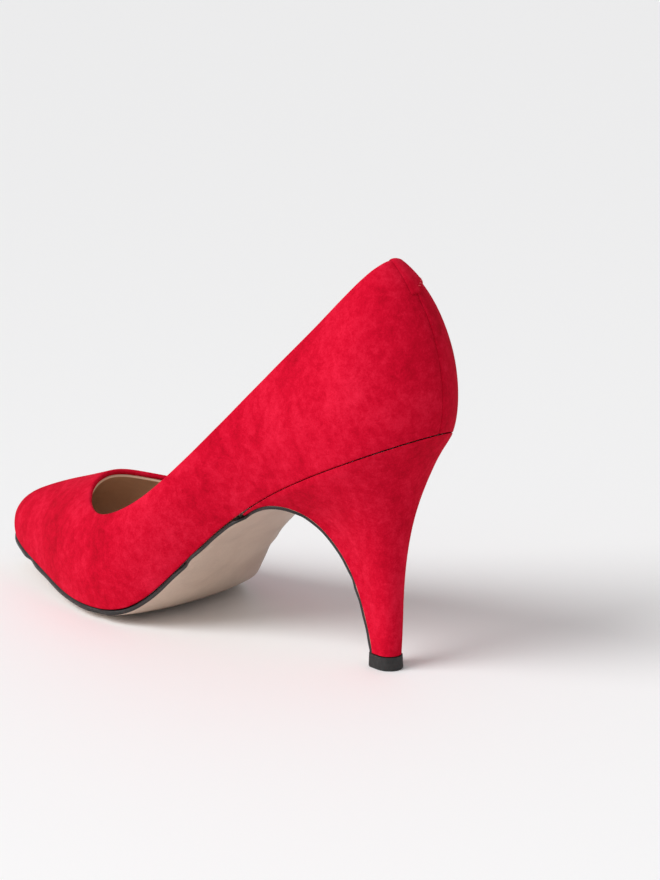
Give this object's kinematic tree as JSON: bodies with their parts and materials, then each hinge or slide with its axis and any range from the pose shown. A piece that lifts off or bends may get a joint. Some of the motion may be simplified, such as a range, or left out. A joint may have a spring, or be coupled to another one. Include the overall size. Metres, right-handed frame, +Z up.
{
  "type": "high heel pump",
  "caption": "Left pointed-toe pump in red suede: low-cut opening, slim covered stiletto heel, leather sole carried down the heel breast, and a rubber top lift.",
  "frame": {"origin": "centre of the shoe's bounding box, on the ground", "axes": "+X to the toe, +Y to the outer (lateral) side of the left foot, +Z up"},
  "size_m": [0.2236, 0.0756, 0.1415],
  "materials": {
    "red_suede": "napped suede",
    "lining_leather": "smooth lining leather",
    "lining_suede": "suede side out",
    "sole_leather": "smooth, edge inked black",
    "stiffener": "thermoplastic-impregnated fabric",
    "interlining": "woven cotton backer",
    "insole_board": "cellulose board",
    "sock_foam": "latex foam",
    "filler": "felt",
    "steel": "spring steel",
    "heel_plastic": "moulded ABS",
    "lift_rubber": "hard top-piece rubber"
  },
  "bodies": {
    "root": {"outer_upper": "red_suede", "inner_quarter": "red_suede", "back_tab": "red_suede", "heel_cover": "red_suede", "heel_counter": "stiffener", "toe_puff": "stiffener", "outer_interlining": "interlining", "inner_interlining": "interlining", "heel_grip": "lining_suede", "outer_quarter_lining": "lining_leather", "inner_quarter_lining": "lining_leather", "vamp_lining": "lining_leather", "front_insole": "insole_board", "rear_insole": "insole_board", "sock_foam": "sock_foam", "sock_lining": "lining_leather", "bottom_filler": "filler", "steel_shank": "steel", "outsole": "sole_leather", "heel_core": "heel_plastic", "heel_tube": "steel", "heel_screw": "steel", "top_lift": "lift_rubber", "lift_pin": "steel", "heel_nail_1": "steel", "heel_nail_2": "steel", "heel_nail_3": "steel", "heel_nail_4": "steel", "shank_rivet_rear": "steel", "shank_rivet_front": "steel"}
  },
  "joints": []
}
